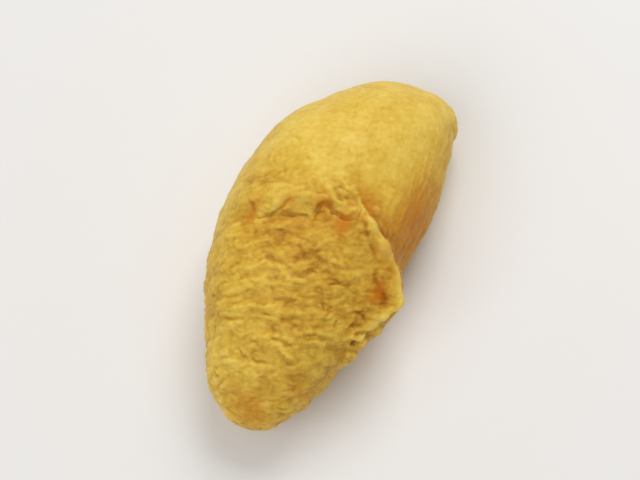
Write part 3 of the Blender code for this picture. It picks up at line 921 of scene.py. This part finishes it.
wrinkles = skin.modifiers.new("wrinkles", "NODES")
wrinkles.node_group = crinkler
asked_for = {**CRINKLE_SIZES, "Seed": CRINKLE_SEED, "Skin": tofu}
for item in crinkler.interface.items_tree:
    if item.in_out == "INPUT" and item.name in asked_for:
        wrinkles[item.identifier] = asked_for[item.name]
settle(skin)
print("crinkled skin:", len(skin.data.vertices), "points,", [m.name for m in skin.data.materials])

# %% [markdown]
# ** Soy and painted shade in the creases.** Creases are made darker than ridges, whatever made
# them: partly as soy that gathers there and partly as painted shade, while the ridges are painted
# paler as a painted highlight. So the depth of a point is measured on the finished relief: the mesh
# is smoothed step by step in memory, and the gap between the smoothed place and the real one,
# along the normal, says how deep the point lies. A few rounds find the fine creases, and many
# rounds find the broad hollows.

# %% Measure the creases
FINE_ROUNDS, BROAD_ROUNDS = 10, 68
FINE_DEPTH, BROAD_DEPTH = 0.12, 0.40       # a gap of this many millimetres counts as 1


def depth_in_creases(piece, rounds):
    """How far each point lies below its smoothed surroundings, in mm: above 0 in a crease."""
    ends = np.empty(len(piece.data.edges) * 2, dtype=np.int32)
    piece.data.edges.foreach_get("vertices", ends)
    first, second = ends.reshape(-1, 2).T
    here, count = places_of(piece), len(piece.data.vertices)
    neighbours = np.bincount(ends, minlength=count)
    smoothed = here.copy()
    for _ in range(rounds):
        for axis in range(3):
            values = smoothed[:, axis].copy()
            total = np.bincount(first, values[second], count) + np.bincount(second, values[first], count)
            smoothed[:, axis] = 0.5 * values + 0.5 * total / neighbours
    return ((smoothed - here) * normals_of(piece)).sum(axis=1)


fine = np.clip(depth_in_creases(skin, FINE_ROUNDS) / FINE_DEPTH, -1.0, 1.0)
broad = np.clip(depth_in_creases(skin, BROAD_ROUNDS) / BROAD_DEPTH, -1.0, 1.0)
depth = 0.45 * fine + 0.55 * broad
# Creases, above 0, are weighed at 0.7; ridges, below 0, count in full and are painted paler as a painted
# highlight.
store(skin, "crease", np.where(depth > 0.0, 0.7, 1.0) * depth)
print("crease depth:", round(float(fine.std()), 2), "fine and", round(float(broad.std()), 2), "broad")

# %% [markdown]
# ** Tone.** No two parts of a pouch are fried and soaked alike. The blunt half is the palest, and the
# narrow half and the sunken middle are deeper. The tone also deepens towards the bottom and under
# the lip. The +X wall is made deeper as painted shade. The hem's edge is painted paler as a painted
# highlight, and the skin behind it deeper, partly as soy and partly as painted shade. A table of
# soft patches does the rest, each a deeper or a paler place as seen from above. A tone of 0 is straw
# and 1 is brown.

# %% Tone
HOLLOW = (0.14, 1.0, -7.4, 6.5, 3.0)
# Each patch: how much deeper, its plan place, its reach along X and its reach along Y, in mm.
PATCHES = (
    (0.24, 1.0, 4.5, 11.0, 5.0),
    (0.20, -13.0, 3.0, 7.0, 8.0),
    (0.10, 9.0, -14.0, 7.0, 6.0),
    (-0.12, -6.5, -35.0, 6.5, 9.0),
    (0.12, 5.5, -38.5, 6.0, 5.0),
    # This patch deepens the +X wall behind the hem as painted shade.
    (0.24, 19.0, 9.0, 4.5, 11.0),
    (-0.08, 15.0, 25.0, 6.0, 9.0),
    (-0.16, 20.3, -4.6, 1.2, 2.6),
    (0.28, 18.5, -6.4, 1.8, 2.4),
    (0.08, -0.3, 15.5, 7.0, 6.0),
    (-0.10, -10.0, 16.0, 7.0, 8.0),
    (0.10, 7.0, 9.0, 4.0, 3.5),
    (-0.08, 14.0, 0.0, 4.0, 5.0),
    (0.04, -0.8, -7.2, 5.0, 2.6),
    (0.12, 8.8, -8.1, 4.2, 2.0),
    (0.09, 6.0, -21.8, 9.0, 2.4),
    (-0.08, 3.1, 2.6, 3.0, 1.6),
)
places = places_of(skin)
x, y, z = places.T
past, far_side = past_border(places)
narrow_half = rise(past, -0.5, 1.5 + 10.0 * far_side)
under_lip = narrow_half * np.exp(-from_line(places, lip, lip_ups)[0] / 3.5) * rise(z, 16.0, 24.0)
hollow = patch(places, *HOLLOW) * rise(z, 20.0, 28.0)
# The +X wall is made deeper as painted shade.
wall = rise(x, 10.0, 18.0) * (1.0 - 0.4 * narrow_half)
belly = 1.0 - rise(z, 2.0, 9.0)
tone = 0.20 + 0.19 * narrow_half + 0.16 * under_lip + hollow + 0.14 * wall + 0.15 * belly
tone += sum(patch(places, *part) for part in PATCHES)
hem_distance, hem_side, _ = from_line(places, hem, hem_ups)
# Behind the hem the skin is deeper, partly as soy and partly as painted shade; the hem's edge is painted
# paler as a painted highlight.
behind_hem_soy_and_shade = np.where(hem_side > 0, bump(hem_distance, 4.5), 0.0) * rise(y, -8.0, -2.0)
painted_hem_highlight = bump(hem_distance * hem_side + 0.8, 0.9)
tone += 0.22 * behind_hem_soy_and_shade - 0.28 * painted_hem_highlight
store(skin, "tone", tone)
print("tone from", round(float(tone.min()), 2), "to", round(float(tone.max()), 2))

# %% [markdown]
# ** Stains.** Soy has soaked in here and there and left orange-brown spots, mostly where a fold has
# held the broth: under the lip, behind the hem and inside the ear. Behind the hem and down the +X
# wall the same orange is partly a soy stain and partly painted shade.

# %% Stains
# Each stain: strength, its plan place, its reach along X and its reach along Y, in mm.
STAINS_AND_SHADE = (
    # The first one, down the +X wall, is partly a soy stain and partly painted shade.
    (0.70, 17.5, 12.0, 3.8, 12.0),
    (0.78, 6.4, 1.4, 1.7, 3.4),
    (0.55, 12.6, 6.6, 1.7, 1.6),
    (0.55, -6.3, 0.9, 1.3, 1.7),
    (0.60, 0.9, 3.9, 1.8, 1.2),
    (0.60, -12.6, -4.2, 1.4, 4.4),
    (0.90, 18.2, -6.8, 1.6, 2.2),
    (0.40, 3.4, -39.5, 4.0, 2.6),
    (0.25, 10.0, -31.5, 3.4, 2.6),
)
# Behind the hem this orange is partly soy and partly painted shade.
stain_and_shade = 0.3 * under_lip + 0.5 * behind_hem_soy_and_shade
for part in STAINS_AND_SHADE:
    stain_and_shade = np.maximum(stain_and_shade, patch(places, *part) * rise(z, 8.0, 14.0))
store(skin, "stain_and_shade", stain_and_shade)
print("share of the skin that is stained:", round(float((stain_and_shade > 0.2).mean()), 2))

# %% [markdown]
# ** Fit.** The table presses the belly flat, and no point may leave the frame's box. Then the skin
# takes the place of the plain pouch.

# %% Fit and hand over
low_mm, high_mm = (np.array(corner) / MM for corner in cad_box)
move_to(skin, np.clip(places, low_mm, high_mm))
skin.data.shade_smooth()
skin.data.update()
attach(skin, "root")
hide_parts("tofu_pouch")
